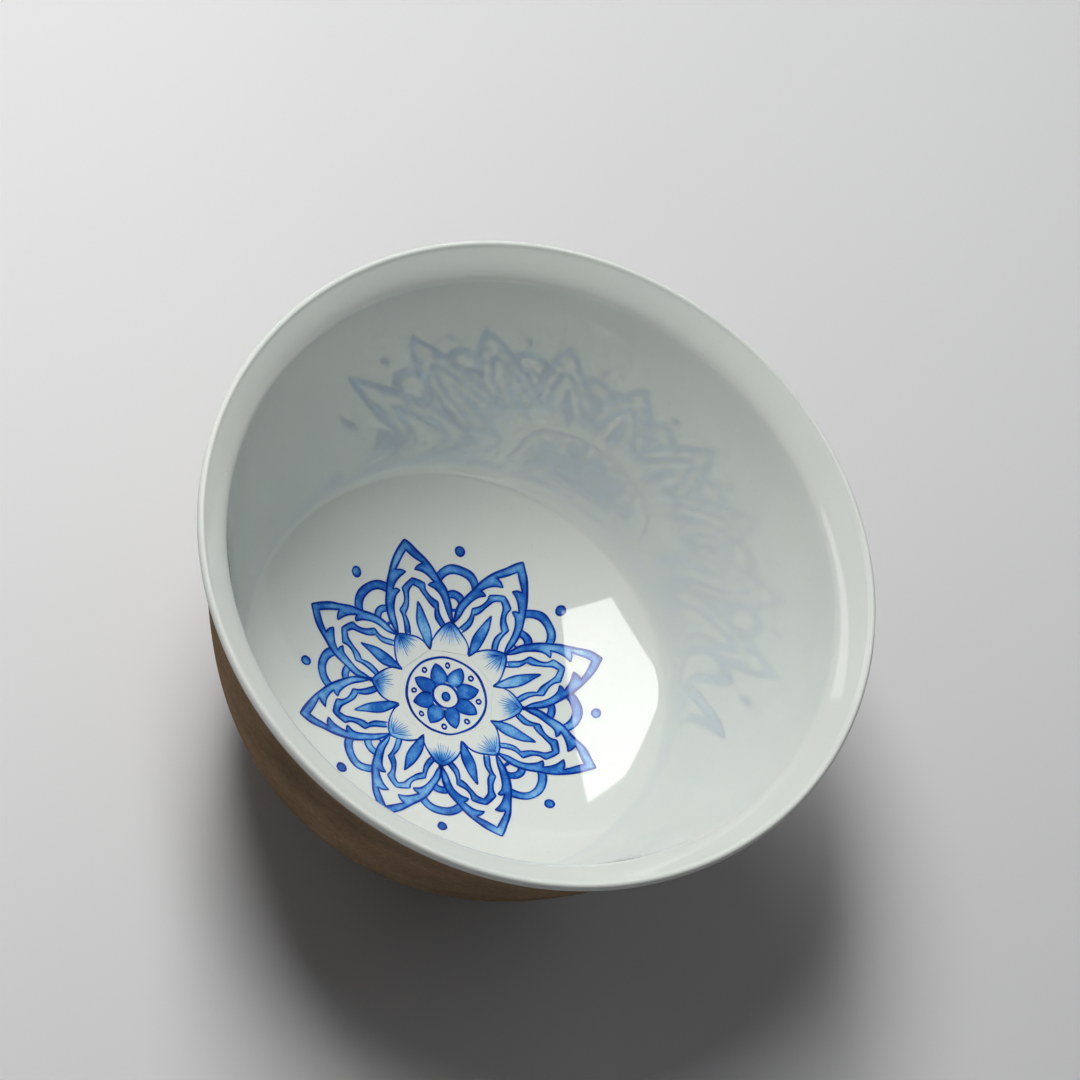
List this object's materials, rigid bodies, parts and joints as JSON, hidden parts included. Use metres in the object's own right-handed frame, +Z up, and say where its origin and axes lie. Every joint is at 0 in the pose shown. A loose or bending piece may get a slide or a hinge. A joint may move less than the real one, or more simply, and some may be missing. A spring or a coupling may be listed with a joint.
{
  "type": "teacup",
  "caption": "Porcelain teacup with a flared lip, brown-glazed outside, white inside and a cobalt lotus medallion painted on its dished floor, standing on a foot ring.",
  "frame": {"origin": "centre of the foot ring's resting face", "axes": "+Z up along the cup's axis, towards the mouth; the medallion is turned a few degrees about it"},
  "size_m": [0.09, 0.09, 0.053],
  "materials": {
    "porcelain_clay": "bare fired porcelain, matte",
    "white_glaze": "glossy, faintly green-grey white",
    "brown_glaze": "glossy dark brown",
    "cobalt_line": "glossy dark cobalt brush line",
    "cobalt_wash": "glossy mid-blue cobalt wash"
  },
  "bodies": {
    "root": {"body": "porcelain_clay", "foot_ring": "porcelain_clay", "foot_glaze": "brown_glaze", "base_glaze": "white_glaze", "inner_glaze": "white_glaze", "lip_glaze": "white_glaze", "outer_glaze": "brown_glaze", "eye_wash": "cobalt_wash", "eye_lines": "cobalt_line", "heart_wash": "cobalt_wash", "heart_lines": "cobalt_line", "heart_circle": "cobalt_line", "bead_lines": "cobalt_line", "lotus_wash": "cobalt_wash", "lotus_lines": "cobalt_line", "leaf_wash": "cobalt_wash", "leaf_lines": "cobalt_line", "ribbon_wash": "cobalt_wash", "ribbon_lines": "cobalt_line", "spear_wash": "cobalt_wash", "spear_lines": "cobalt_line", "arch_wash": "cobalt_wash", "arch_lines": "cobalt_line", "dot_wash": "cobalt_wash", "dot_lines": "cobalt_line"}
  },
  "joints": []
}
